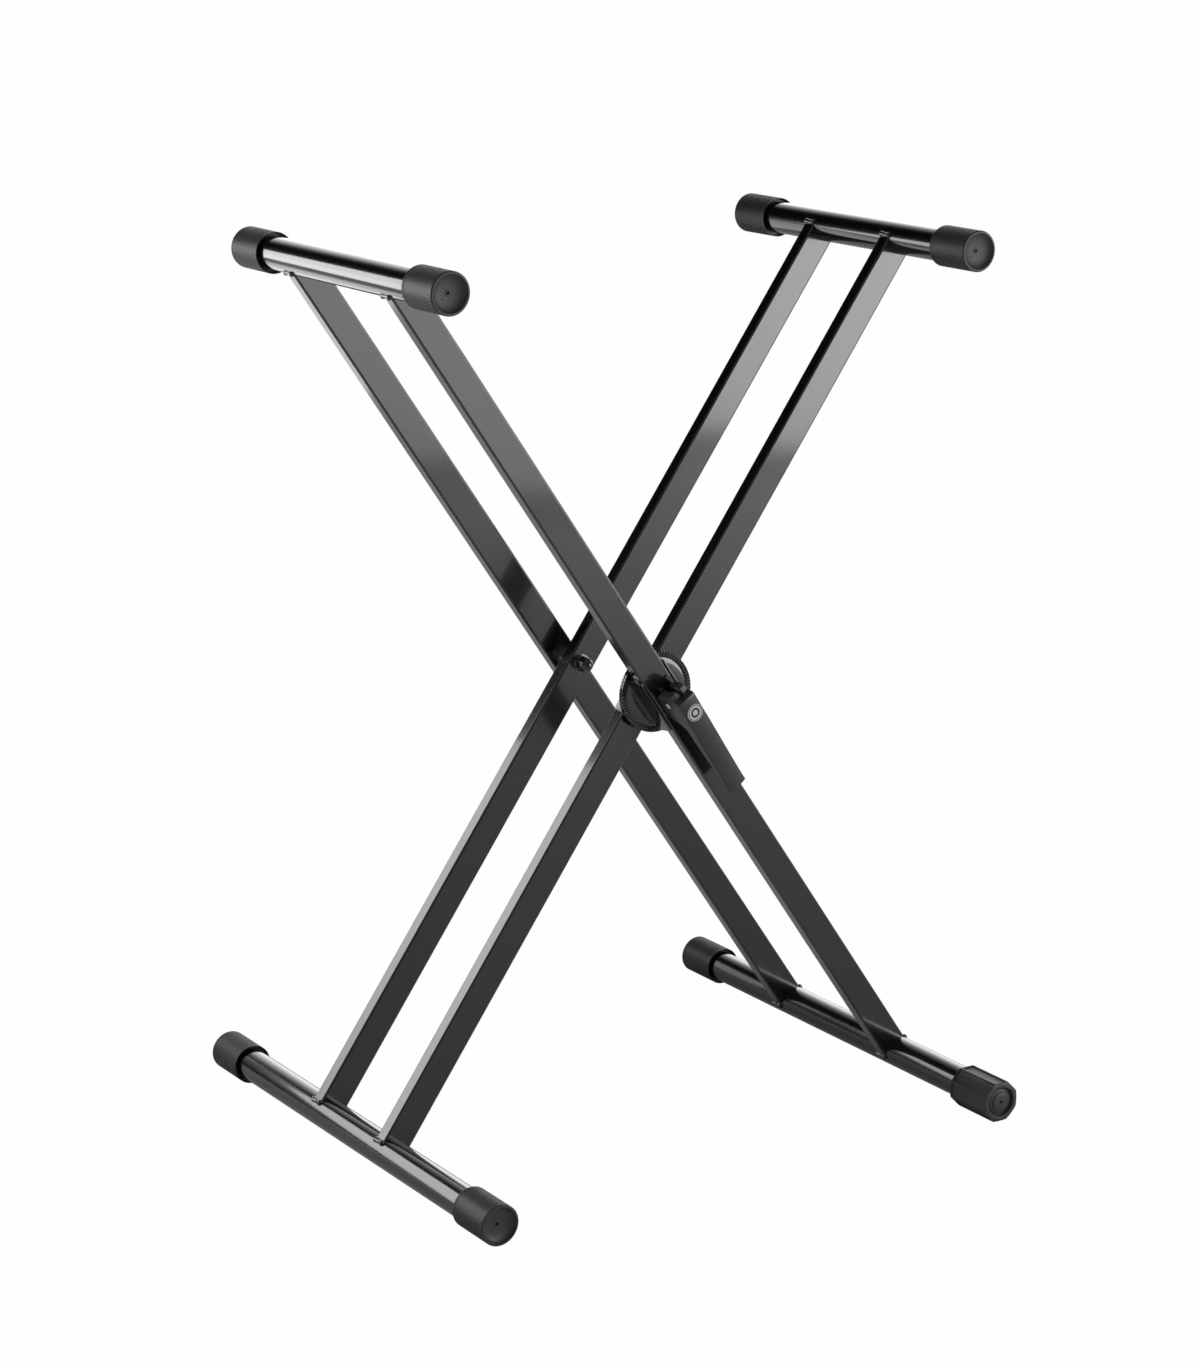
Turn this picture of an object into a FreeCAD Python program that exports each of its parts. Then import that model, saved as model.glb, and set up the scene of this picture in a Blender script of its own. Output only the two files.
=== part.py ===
import FreeCAD, Part
import os
import re
import Sketcher

# Folding keyboard stand. Two H-shaped leg frames of steel tube cross at mid height.
# The pivot axis runs along Y. The near side, -Y, has a toothed clutch with a release
# lever, and the far side has a plain bolt. Z = 0 is the floor. Lengths in millimetres.

SIZES = {
    # leg frames
    "leg_reach": 512,            # pivot to the axis of a round tube, along a leg
    "lean_angle": 34.9,          # each frame from upright, in degrees
    "frame_width": 200,          # over the outer faces of the outer legs
    "leg_gap": 15,               # between an outer leg and the inner leg beside it
    "leg_width": 30,
    "leg_depth": 15,
    "leg_wall": 1.5,
    "leg_corner": 2,
    "tube_diameter": 32,
    "tube_wall": 1.5,
    "arm_span": 381,             # over the end caps of an upper tube
    "foot_span": 542,            # over the end caps of a lower tube
    "weld_radius": 3.2,
    # plain end caps
    "cap_wall": 4,
    "cap_length": 52,
    "cap_seat": 7,               # cap end to tube end
    "cap_rim": 2.4,
    "cap_rim_depth": 2.5,
    "cap_dish_depth": 4,
    "cap_chamfer": 1,
    "cap_hole": 3,
    # levelling cap
    "level_offset": 2,           # from the tube axis to the middle of the octagon
    "level_length": 56,
    "level_recess": 17,          # radius of the recess in its end
    "level_recess_depth": 4,
    "level_dome": 12,            # radius of the raised middle
    "level_dome_rise": 2.5,
    "level_end_gap": 0.3,
    # clearances
    "running_clearance": 0.08,
    "key_clearance": 0.2,
    "part_gap": 0.3,
    "loose_clearance": 0.3,
    # toothed clutch
    "disc_radius": 40,
    "disc_thickness": 3.05,
    "tooth_length": 4.5,
    "tooth_depth": 1.8,
    "tooth_groove": 1.6,
    "wall_foot": 4.3,            # thickness of a saddle wall at the disc
    "wall_edge": 1.7,            # thickness at its free edge
    "wall_reach": 33,            # pivot to the end of a saddle wall
    "wall_round": 4,
    "boss_radius": 18,
    "hub_bore": 11,
    # release bolt
    "bolt_diameter": 10,
    "bolt_stand_out": 1.9,       # bolt past its nut
    "flat_depth": 1.9,           # from the leg's front face to where the eye's flats begin
    "eye_radius": 8,
    "eye_width": 6.5,
    "pin_height": 13.5,          # cross pin to the outer leg's front face
    "pin_diameter": 6,
    "pin_stand_out": 0.6,
    "pin_round": 0.5,
    "bush_diameter": 14,
    "outer_bush_length": 12,
    "release_space": 3.9,        # from the inner leg to the retaining washer
    "washer_diameter": 20,
    "washer_thickness": 1.2,
    "nut_width": 16,
    "nut_thickness": 6,
    # spring in the near outer leg
    "spring_radius": 8.6,        # to the middle of the wire
    "spring_wire": 1.6,
    "spring_turns": 4,
    "spring_hole": 21,
    # cam plate
    "cam_height": 38,
    "cam_width": 26,
    "cam_thickness": 2,
    "cam_round": 4,
    # release lever, measured from the cross pin and from the leg's front face
    "lever_width": 21.2,
    "lever_slot": 7.2,
    "lever_wall": 2.5,
    "lever_cam_radius": 11.2,    # pin to the cam face that bears at rest
    "lever_cam_end": 14.5,       # pin to the cam face that bears when it is open
    "lever_heel": 19.5,          # pin to the heel, down the leg
    "lever_fork_top": 28,        # fork end to the leg
    "lever_crown": 38,           # crown at the fork to the leg
    "lever_crown_mid": 35.7,
    "lever_crown_end": 28.7,
    "lever_grip": 22,            # underside at the heel to the leg
    "lever_grip_end": 27.2,
    "lever_length": 114,         # pin to the tip
    "lever_bend": 30,            # pin to where the grip begins
    "badge_diameter": 17.5,
    "badge_thickness": 1.2,
    "badge_place": 10.5,         # pin to the middle of the badge, down the leg
    # far pivot
    "far_bolt_diameter": 8,
    "far_washer_diameter": 18,
    "far_washer_thickness": 1.6,
    "far_head_width": 13,
    "far_head_thickness": 5.3,
    "sleeve_diameter": 12,
    "spacer_diameter": 20,
    "dome_flange_diameter": 16,
    "dome_flange_thickness": 1.5,
    "dome_hex_thickness": 6,
    "dome_radius": 6.5,
    "dome_thread_depth": 8,
}
TOOTH_COUNT = 72
NUT_SIDE_COUNT = 6
LEVEL_SIDE_COUNT = 8

# Sizes worked out from the driving ones. Distances along Y are from the mid plane.
LEAN = "lean_angle * 1deg"
CAP_RADIUS = "(tube_diameter / 2 + cap_wall)"
PIVOT_HEIGHT = f"(leg_reach * cos({LEAN}) + {CAP_RADIUS})"
TUBE_SIDE = f"(leg_reach * sin({LEAN}))"
TUBE_RISE = f"(leg_reach * cos({LEAN}))"
OUTER_FACE = "(frame_width / 2)"
OUTER_BACK = "(frame_width / 2 - leg_depth)"
INNER_FACE = "(frame_width / 2 - leg_depth - leg_gap)"
INNER_BACK = "(frame_width / 2 - 2 * leg_depth - leg_gap)"
CAM_FACE = f"({OUTER_FACE} + cam_thickness)"
PIN_PLACE = f"({OUTER_FACE} + pin_height)"
CLUTCH_PLANE = "(frame_width / 2 - leg_depth - leg_gap / 2)"
OUTER_TEETH = f"({CLUTCH_PLANE} + part_gap / 2)"
INNER_TEETH = f"({CLUTCH_PLANE} - part_gap / 2)"
OUTER_DISC = f"({OUTER_TEETH} + disc_thickness)"
INNER_DISC = f"({INNER_TEETH} - disc_thickness)"
BOLT_BORE = "(bolt_diameter / 2 + running_clearance)"
FAR_BORE = "(far_bolt_diameter / 2 + running_clearance)"
RETAINER = f"({INNER_BACK} - release_space)"
NUT_FRONT = f"({RETAINER} - washer_thickness)"
NUT_BACK = f"({NUT_FRONT} - nut_thickness)"
BOLT_END = f"({NUT_BACK} - bolt_stand_out)"
FLAT_START = f"({OUTER_FACE} - flat_depth)"
FAR_WASHER = f"({INNER_BACK} - part_gap)"
DOME_SEAT = f"({FAR_WASHER} - far_washer_thickness)"
DOME_HEX = f"({DOME_SEAT} - dome_flange_thickness)"
DOME_START = f"({DOME_HEX} - dome_hex_thickness)"
SPARE = "leg_width"              # how far a cutting tool runs past what it cuts

NEAR, FAR = -1, 1                # sides of the stand along Y
OUTER, INNER = -1, 1             # which way a frame leans: its upper end towards X
UP, DOWN = 1, -1

document = FreeCAD.newDocument("KeyboardStand")
sheet = document.addObject("Spreadsheet::Sheet", "Size")
for row, (alias, value) in enumerate(SIZES.items(), start=1):
    sheet.set(f"A{row}", alias)
    sheet.set(f"B{row}", str(value))
    sheet.setAlias(f"B{row}", alias)
document.recompute()

probe = document.addObject("App::FeaturePython", "Probe")
probe.addProperty("App::PropertyFloat", "Number")
nodes = []


def from_sheet(formula):
    """Point each size's name in a formula at its cell."""
    return re.sub(r"[a-z_]+", lambda word: ("Size." if word.group() in SIZES else "") + word.group(), formula)


def number(formula):
    """Return the present value of a formula."""
    probe.setExpression("Number", from_sheet(str(formula)))
    probe.recompute()
    return probe.Number


def bind(item, **formulas):
    """Bind properties of an object to formulas. Two underscores stand for a dot."""
    for name, formula in formulas.items():
        item.setExpression(name.replace("__", "."), from_sheet(str(formula)))


def place(item, x="0", y="0", z="0"):
    """Bind an object's position."""
    bind(item, Placement__Base__x=x, Placement__Base__y=y, Placement__Base__z=z)


def turn(item, axis, degrees):
    """Set an object's fixed rotation."""
    item.Placement = FreeCAD.Placement(FreeCAD.Vector(), FreeCAD.Rotation(FreeCAD.Vector(*axis), degrees))


def register(item, name):
    """Give a finished piece its name."""
    item.Label = name
    nodes.append(item)


def lean(item, frame):
    """Put a piece drawn on an upright leg, with the pivot at its origin, on its leaning frame."""
    turn(item, (0, 1, 0), frame)
    bind(item, Placement__Rotation__Angle=f"{frame} * lean_angle")
    place(item, z=PIVOT_HEIGHT)


def face_out(item, side):
    """Turn a piece drawn along Z so that its +Z points out of the given side."""
    turn(item, (1, 0, 0), -90 * side)


def new_body(name):
    return document.addObject("PartDesign::Body", name)


def plane_of(body, role):
    return next(item for item in body.Origin.OriginFeatures if item.Role == role)


def sketch_on(body, role, offset="0"):
    """Start a sketch on one of the body's own planes, moved along the plane's normal."""
    sketch = body.newObject("Sketcher::SketchObject", "Outline")
    sketch.AttachmentSupport = [(plane_of(body, role), "")]
    sketch.MapMode = "FlatFace"
    bind(sketch, AttachmentOffset__Base__z=offset)
    return sketch


def outline(sketch, corners):
    """Add a closed outline with straight sides through the corners, each a pair of formulas."""
    first = len(sketch.Geometry)
    points = [FreeCAD.Vector(number(across), number(along), 0) for across, along in corners]
    count = len(points)
    for index, point in enumerate(points):
        sketch.addGeometry(Part.LineSegment(point, points[(index + 1) % count]), False)
    for index in range(count):
        following = first + (index + 1) % count
        sketch.addConstraint(Sketcher.Constraint("Coincident", first + index, 2, following, 1))
    for index, (point, corner) in enumerate(zip(points, corners)):
        for kind, value, formula in zip(("DistanceX", "DistanceY"), point, corner):
            entry = sketch.addConstraint(Sketcher.Constraint(kind, -1, 1, first + index, 1, value))
            sketch.setExpression(f"Constraints[{entry}]", from_sheet(str(formula)))
    return sketch


def rectangle(sketch, width, height):
    """Add a rectangle centred on the sketch's origin."""
    right, top = f"{width} / 2", f"{height} / 2"
    left, bottom = f"-{width} / 2", f"-{height} / 2"
    return outline(sketch, [(left, bottom), (right, bottom), (right, top), (left, top)])


def pad(body, sketch, length, both_ways=False):
    feature = body.newObject("PartDesign::Pad", "Pad")
    feature.Profile = sketch
    feature.SideType = "Symmetric" if both_ways else "One side"
    bind(feature, Length=length)
    return feature


def pocket(body, sketch, length, both_ways=False):
    feature = body.newObject("PartDesign::Pocket", "Pocket")
    feature.Profile = sketch
    feature.SideType = "Symmetric" if both_ways else "One side"
    bind(feature, Length=length)
    return feature


def revolve(body, sketch):
    """Turn a sketch about its own vertical axis."""
    feature = body.newObject("PartDesign::Revolution", "Revolution")
    feature.Profile = sketch
    feature.ReferenceAxis = (sketch, ["V_Axis"])
    feature.Angle = 360
    return feature


def round_edges(body, base, radius, wanted):
    """Round the straight edges of a feature that the test picks by direction and middle."""
    document.recompute()
    names = []
    for index, edge in enumerate(base.Shape.Edges, start=1):
        if edge.Curve.TypeId != "Part::GeomLine":
            continue
        direction = edge.Curve.Direction
        middle = edge.valueAt((edge.FirstParameter + edge.LastParameter) / 2)
        if wanted(direction, middle):
            names.append(f"Edge{index}")
    feature = body.newObject("PartDesign::Fillet", "Fillet")
    feature.Base = (base, names)
    bind(feature, Radius=radius)
    return feature


def body_cylinder(body, kind, radius, start, length, axis, x="0", y="0", z="0"):
    """Add or cut a cylinder along one axis of the body, from start over length."""
    feature = body.newObject(f"PartDesign::{kind}Cylinder", "Round")
    if axis == "x":
        turn(feature, (0, 1, 0), 90)
        x = start
    elif axis == "y":
        turn(feature, (1, 0, 0), -90)
        y = start
    else:
        z = start
    bind(feature, Radius=radius, Height=length)
    place(feature, x, y, z)
    return feature


def body_box(body, kind, low, size):
    """Add or cut a box from its low corner."""
    feature = body.newObject(f"PartDesign::{kind}Box", "Block")
    bind(feature, Length=size[0], Width=size[1], Height=size[2])
    place(feature, *low)
    return feature


def cylinder(radius, start, end):
    item = document.addObject("Part::Cylinder", "Cylinder")
    bind(item, Radius=radius, Height=f"({end}) - ({start})")
    place(item, z=start)
    return item


def prism(sides, radius, start, end):
    item = document.addObject("Part::Prism", "Prism")
    item.Polygon = sides
    bind(item, Circumradius=radius, Height=f"({end}) - ({start})")
    place(item, z=start)
    return item


def cut(base, tool, name="Cut"):
    item = document.addObject("Part::Cut", name)
    item.Base = base
    item.Tool = tool
    return item


def fuse(items, name="Fusion"):
    item = document.addObject("Part::MultiFuse", name)
    item.Shapes = items
    return item


def drill(base, radius, start, end, name="Cut"):
    """Cut a round hole along Z that runs past both ends."""
    return cut(base, cylinder(radius, f"{start} - {SPARE}", f"{end} + {SPARE}"), name)


def ring(name, side, bore, radius, start, end):
    """Make a ring round the pivot axis, between two distances from the mid plane."""
    item = drill(cylinder(radius, start, end), bore, start, end, name)
    face_out(item, side)
    place(item, z=PIVOT_HEIGHT)
    register(item, name)


def leg(name, frame, side, face, holes):
    """A rectangular tube, cut to sit round both round tubes, with holes at the pivot.

    Each hole is a radius and the distances from the mid plane where it starts and ends.
    """
    body = new_body(name)
    section = rectangle(sketch_on(body, "XY_Plane"), "leg_width", "leg_depth")
    solid = pad(body, section, "2 * leg_reach", both_ways=True)
    rounded = round_edges(body, solid, "leg_corner", lambda way, middle: abs(way.z) > 0.9)
    hollow = rectangle(sketch_on(body, "XY_Plane"), "(leg_width - 2 * leg_wall)",
                       "(leg_depth - 2 * leg_wall)")
    pocket(body, hollow, "2 * leg_reach", both_ways=True)
    for end in (UP, DOWN):
        body_cylinder(body, "Subtractive", "tube_diameter / 2", "-leg_depth", "2 * leg_depth", "y",
                      z=f"{end} * leg_reach")
    centre = f"({side} * ({face} - leg_depth / 2))"
    for radius, start, end in holes:
        low, high = (start, end) if side == FAR else (f"-{end}", f"-{start}")
        body_cylinder(body, "Subtractive", radius, f"{low} - {centre}", f"{high} - ({low})", "y")
    lean(body, frame)
    bind(body, Placement__Base__y=centre)
    register(body, name)


def round_tube(name, frame, end, span):
    """A round tube along Y at the end of a frame's legs, between its two end caps."""
    half = f"({span} / 2 - cap_seat)"
    tube = drill(cylinder("tube_diameter / 2", f"-{half}", half), "tube_diameter / 2 - tube_wall",
                 f"-{half}", half, name)
    face_out(tube, FAR)
    place(tube, f"{frame * end} * {TUBE_SIDE}", "0", f"{PIVOT_HEIGHT} + {end} * {TUBE_RISE}")
    register(tube, name)


def plain_cap(name, frame, end, side, span):
    """A rubber cap over a tube's end, with a thin rim and a dished end with a small hole."""
    body = new_body(name)
    inner_rim = f"({CAP_RADIUS} - cap_rim)"
    profile = [
        ("tube_diameter / 2", "-cap_length"),
        (CAP_RADIUS, "-cap_length"),
        (CAP_RADIUS, "-cap_chamfer"),
        (f"{CAP_RADIUS} - cap_chamfer", "0"),
        (inner_rim, "0"),
        (inner_rim, "-cap_rim_depth"),
        ("cap_hole / 2", "-cap_dish_depth"),
        ("cap_hole / 2", "-cap_seat"),
        ("tube_diameter / 2", "-cap_seat"),
    ]
    revolve(body, outline(sketch_on(body, "XZ_Plane"), profile))
    face_out(body, side)
    place(body, f"{frame * end} * {TUBE_SIDE}", f"{side} * {span} / 2",
          f"{PIVOT_HEIGHT} + {end} * {TUBE_RISE}")
    register(body, name)


def welds(name, frame, end, face):
    """Four weld beads, one along each narrow edge of both legs where they meet a round tube."""
    corner = "(sqrt(tube_diameter ^ 2 - leg_width ^ 2) / 2)"
    beads, solids = [], []
    for side in (NEAR, FAR):
        middle = f"{side} * ({face} - leg_depth / 2)"
        for edge in (-1, 1):
            bead = document.addObject("Part::Cylinder", "Bead")
            bind(bead, Radius="weld_radius", Height="leg_depth")
            face_out(bead, FAR)
            place(bead, f"{edge} * leg_width / 2", f"{middle} - leg_depth / 2",
                  f"{end} * (leg_reach - {corner})")
            beads.append(bead)
        box = document.addObject("Part::Box", "LegEnd")
        bind(box, Length="leg_width", Width="2 * leg_depth", Height="leg_width")
        place(box, "-leg_width / 2", f"{middle} - leg_depth",
              f"{end} * (leg_reach - leg_width / 2) - leg_width / 2")
        solids.append(box)
    tube = document.addObject("Part::Cylinder", "TubeSolid")
    bind(tube, Radius="tube_diameter / 2", Height="frame_width")
    face_out(tube, FAR)
    place(tube, "0", "-frame_width / 2", f"{end} * leg_reach")
    item = cut(fuse(beads), fuse(solids + [tube]), name)
    lean(item, frame)
    register(item, name)


def clutch_disc(body, teeth, disc, bore):
    """The toothed disc of one clutch half, between its tooth tips and its plain face."""
    profile = [
        (bore, f"-{teeth}"),
        ("disc_radius", f"-{teeth}"),
        ("disc_radius", f"-{disc}"),
        (bore, f"-{disc}"),
    ]
    return revolve(body, outline(sketch_on(body, "XY_Plane"), profile))


def tooth_grooves(body, teeth, inward):
    """Cut radial grooves into the tooth face; inward is the way from the tips into the disc."""
    root = f"(-{teeth} + {inward} * tooth_depth)"
    overshoot = f"(-{teeth} - {inward} * tooth_depth)"
    groove = sketch_on(body, "YZ_Plane", "disc_radius - tooth_length")
    outline(groove, [
        (root, "-tooth_groove / 2"), (overshoot, "-tooth_groove / 2"),
        (overshoot, "tooth_groove / 2"), (root, "tooth_groove / 2"),
    ])
    feature = pocket(body, groove, "2 * tooth_length")
    feature.Reversed = True
    pattern = body.newObject("PartDesign::PolarPattern", "Teeth")
    pattern.Originals = [feature]
    pattern.Axis = (plane_of(body, "Y_Axis"), [""])
    pattern.Angle = 360
    pattern.Occurrences = TOOTH_COUNT
    body.Tip = pattern
    return pattern


def saddle_walls(body, foot, edge):
    """Two tapered walls that hug a leg, from the disc to the leg's far face."""
    inside = "(leg_width / 2 + key_clearance)"
    for hand in (-1, 1):
        section = sketch_on(body, "XY_Plane")
        outline(section, [
            (f"{hand} * {inside}", f"-{foot}"),
            (f"{hand} * ({inside} + wall_foot)", f"-{foot}"),
            (f"{hand} * ({inside} + wall_edge)", f"-{edge}"),
            (f"{hand} * {inside}", f"-{edge}"),
        ])
        wall = pad(body, section, "2 * wall_reach", both_ways=True)
    level = -number(edge)
    return round_edges(body, wall, "wall_round",
                       lambda way, middle: abs(way.x) > 0.9 and abs(middle.y - level) < 0.01)


# ---- leg frames -------------------------------------------------------------------

leg("leg_outer_near", OUTER, NEAR, OUTER_FACE, [
    ("bush_diameter / 2", f"({OUTER_FACE} - 2 * leg_wall)", f"({OUTER_FACE} + leg_wall)"),
    ("spring_hole / 2", f"({OUTER_BACK} - leg_wall)", f"({OUTER_BACK} + 2 * leg_wall)"),
])
leg("leg_outer_far", OUTER, FAR, OUTER_FACE, [
    ("sleeve_diameter / 2", f"({OUTER_BACK} - leg_wall)", f"({OUTER_FACE} + leg_wall)"),
])
for side, side_name in ((NEAR, "near"), (FAR, "far")):
    leg(f"leg_inner_{side_name}", INNER, side, INNER_FACE, [
        ("bush_diameter / 2", f"({INNER_BACK} - leg_wall)", f"({INNER_FACE} + leg_wall)"),
    ])

for frame, frame_name, face in ((OUTER, "outer", OUTER_FACE), (INNER, "inner", INNER_FACE)):
    for end, end_name, span in ((UP, "arm", "arm_span"), (DOWN, "foot", "foot_span")):
        round_tube(f"{end_name}_tube_{frame_name}", frame, end, span)
        welds(f"welds_{end_name}_{frame_name}", frame, end, face)
        for side, side_name in ((NEAR, "near"), (FAR, "far")):
            if (frame, end, side) != (OUTER, DOWN, NEAR):
                plain_cap(f"cap_{end_name}_{frame_name}_{side_name}", frame, end, side, span)

# ---- levelling cap ----------------------------------------------------------------
# An octagon set off the tube's axis, so that turning it changes the corner's height.

LEVEL_BACK = "(foot_span / 2 - level_length)"
LEVEL_END = "(foot_span / 2)"
LEVEL_FLOOR = "(foot_span / 2 - level_recess_depth)"
octagon = prism(LEVEL_SIDE_COUNT, f"{CAP_RADIUS} / cos(22.5deg)", LEVEL_BACK, LEVEL_END)
octagon.Placement.Rotation = FreeCAD.Rotation(FreeCAD.Vector(0, 0, 1), 180 / LEVEL_SIDE_COUNT)
bind(octagon, Placement__Base__x="-level_offset")
level_bore = cylinder("tube_diameter / 2 + running_clearance", f"{LEVEL_BACK} - {SPARE}",
                      "(foot_span / 2 - cap_seat + level_end_gap)")
level_recess = cylinder("level_recess", LEVEL_FLOOR, f"{LEVEL_END} + {SPARE}")
bind(level_recess, Placement__Base__x="-level_offset")
shell = cut(octagon, fuse([level_bore, level_recess]))
dome = document.addObject("Part::Cone", "LevelDome")
bind(dome, Radius1="level_dome", Radius2="level_dome / 2", Height="level_dome_rise")
place(dome, "-level_offset", "0", LEVEL_FLOOR)
levelling_cap = drill(fuse([shell, dome]), "cap_hole / 2", LEVEL_BACK, LEVEL_END, "levelling_cap")
face_out(levelling_cap, NEAR)
place(levelling_cap, TUBE_SIDE, "0", CAP_RADIUS)
register(levelling_cap, "levelling_cap")

# ---- toothed clutch ---------------------------------------------------------------

outer_half = new_body("clutch_half_outer")
clutch_disc(outer_half, OUTER_TEETH, OUTER_DISC, "bolt_diameter / 2")
saddle_walls(outer_half, f"({OUTER_TEETH} + disc_thickness / 2)", OUTER_FACE)
tooth_grooves(outer_half, OUTER_TEETH, -1)
lean(outer_half, OUTER)
register(outer_half, "clutch_half_outer")

inner_half = new_body("clutch_half_inner")
clutch_disc(inner_half, INNER_TEETH, INNER_DISC, "hub_bore / 2")
body_cylinder(inner_half, "Additive", "boss_radius", f"-{INNER_DISC}", f"{INNER_DISC} - {INNER_FACE}", "y")
body_cylinder(inner_half, "Subtractive", "hub_bore / 2", f"-{INNER_DISC} - {SPARE}",
              f"{INNER_DISC} - {INNER_FACE} + 2 * {SPARE}", "y")
saddle_walls(inner_half, f"({INNER_TEETH} - disc_thickness / 2)", INNER_BACK)
tooth_grooves(inner_half, INNER_TEETH, 1)
lean(inner_half, INNER)
register(inner_half, "clutch_half_inner")

ring("guide_bush_outer", NEAR, BOLT_BORE, "bush_diameter / 2", f"({OUTER_FACE} - outer_bush_length)",
     OUTER_FACE)
ring("guide_bush_inner", NEAR, BOLT_BORE, "bush_diameter / 2", INNER_BACK, INNER_FACE)

# The spring stands between the leg's front wall and the outer disc. Its wire is square.
spring_half = number("spring_wire") / 2
spring_height = number(f"{OUTER_FACE} - leg_wall - {OUTER_DISC} - spring_wire")
spring_radius = number("spring_radius")
spring_path = Part.makeHelix(spring_height / number("spring_turns"), spring_height, spring_radius)
spring_corners = [FreeCAD.Vector(spring_radius + across * spring_half, 0, along * spring_half)
                  for across, along in ((-1, -1), (1, -1), (1, 1), (-1, 1), (-1, -1))]
spring = document.addObject("Part::Feature", "clutch_spring")
spring.Shape = Part.Wire(spring_path).makePipeShell([Part.makePolygon(spring_corners)], True, True)
face_out(spring, NEAR)
place(spring, y=f"-({OUTER_DISC} + spring_wire / 2)", z=PIVOT_HEIGHT)
register(spring, "clutch_spring")

cam_plate = new_body("cam_plate")
cam_blank = pad(cam_plate, rectangle(sketch_on(cam_plate, "XZ_Plane", OUTER_FACE), "cam_width", "cam_height"),
                "cam_thickness")
round_edges(cam_plate, cam_blank, "cam_round", lambda way, middle: abs(way.y) > 0.9)
body_cylinder(cam_plate, "Subtractive", "bolt_diameter / 2 + loose_clearance", f"-{CAM_FACE} - {SPARE}",
              f"2 * {SPARE}", "y")
lean(cam_plate, OUTER)
register(cam_plate, "cam_plate")

# ---- release bolt -----------------------------------------------------------------

release_bolt = new_body("release_bolt")
body_cylinder(release_bolt, "Additive", "bolt_diameter / 2", f"-{PIN_PLACE}",
              f"{PIN_PLACE} - {BOLT_END}", "y")
for low, width in (
    ("-bolt_diameter", "bolt_diameter - eye_width / 2"),
    ("eye_width / 2", "bolt_diameter"),
):
    body_box(release_bolt, "Subtractive", (low, f"-{PIN_PLACE} - 1", "-bolt_diameter"),
             (width, f"{PIN_PLACE} - {FLAT_START} + 1", "2 * bolt_diameter"))
body_cylinder(release_bolt, "Additive", "eye_radius", "-eye_width / 2", "eye_width", "x", y=f"-{PIN_PLACE}")
body_cylinder(release_bolt, "Subtractive", "pin_diameter / 2", "-eye_width", "2 * eye_width", "x",
              y=f"-{PIN_PLACE}")
lean(release_bolt, OUTER)
register(release_bolt, "release_bolt")

ring("retaining_washer", NEAR, "bolt_diameter / 2", "washer_diameter / 2", NUT_FRONT, RETAINER)
retaining_nut = drill(prism(NUT_SIDE_COUNT, "nut_width / 2 / cos(30deg)", NUT_BACK, NUT_FRONT),
                      "bolt_diameter / 2", NUT_BACK, NUT_FRONT, "retaining_nut")
face_out(retaining_nut, NEAR)
place(retaining_nut, z=PIVOT_HEIGHT)
register(retaining_nut, "retaining_nut")

cross_pin = new_body("cross_pin")
pin_half = "(lever_width / 2 + pin_stand_out)"
outline_pin = outline(sketch_on(cross_pin, "XY_Plane"), [
    (f"-{pin_half}", f"-{PIN_PLACE}"),
    (f"-{pin_half}", f"-{PIN_PLACE} - pin_diameter / 2 + pin_round"),
    (f"-{pin_half} + pin_round", f"-{PIN_PLACE} - pin_diameter / 2"),
    (f"{pin_half} - pin_round", f"-{PIN_PLACE} - pin_diameter / 2"),
    (pin_half, f"-{PIN_PLACE} - pin_diameter / 2 + pin_round"),
    (pin_half, f"-{PIN_PLACE}"),
])
pin_turn = cross_pin.newObject("PartDesign::Revolution", "Revolution")
pin_turn.Profile = outline_pin
pin_turn.ReferenceAxis = (outline_pin, ["Edge6"])
pin_turn.Angle = 360
lean(cross_pin, OUTER)
register(cross_pin, "cross_pin")

# ---- release lever ----------------------------------------------------------------
# Its side view is drawn with Y outwards from the leg and Z up the leg. The head is an
# eccentric: its end face is farther from the pin than the face that bears at rest.


def beside_leg(down, out):
    """A point of the side view from its distances down the leg and out of its front face."""
    return (f"-({OUTER_FACE} + ({out}))", f"-({down})")


lever = new_body("release_lever")
cam_out = "pin_height - lever_cam_radius"
side_view = outline(sketch_on(lever, "YZ_Plane"), [
    beside_leg("-lever_cam_end", cam_out),
    beside_leg("-lever_cam_end", "lever_fork_top"),
    beside_leg("-lever_cam_end / 2", "lever_crown"),
    beside_leg("lever_bend", "lever_crown_mid"),
    beside_leg("lever_length", "lever_crown_end"),
    beside_leg("lever_length - 2", "lever_grip_end"),
    beside_leg("lever_bend", "lever_grip"),
    beside_leg("lever_heel + 2", "pin_height"),
    beside_leg("lever_heel", "cam_thickness + part_gap + wall_round"),
    beside_leg("lever_heel - 3", cam_out),
])
lever_blank = pad(lever, side_view, "lever_width", both_ways=True)
head_y = -number(f"{OUTER_FACE} + {cam_out}")
head_z = number("lever_cam_end")
lever_head = round_edges(lever, lever_blank, "lever_cam_radius",
                         lambda way, middle: abs(way.x) > 0.9 and abs(middle.y - head_y) < 0.01
                         and abs(middle.z - head_z) < 0.01)
body_box(lever, "Subtractive", ("-lever_slot / 2", f"-({OUTER_FACE} + 2 * lever_crown)", "-lever_heel - 2"),
         ("lever_slot", "2 * lever_crown", "lever_heel + 2 * lever_cam_end"))
hollow_view = outline(sketch_on(lever, "YZ_Plane"), [
    beside_leg("lever_bend - lever_wall", "0"),
    beside_leg("lever_bend - lever_wall", "lever_crown_mid - lever_wall"),
    beside_leg("lever_length * 0.85", "lever_crown_end - lever_wall / 2"),
    beside_leg("lever_length * 0.85", "0"),
])
pocket(lever, hollow_view, "lever_width - 2 * lever_wall", both_ways=True)
body_cylinder(lever, "Subtractive", "pin_diameter / 2 + running_clearance", "-lever_width",
              "2 * lever_width", "x", y=f"-{PIN_PLACE}")
lean(lever, OUTER)
register(lever, "release_lever")

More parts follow.
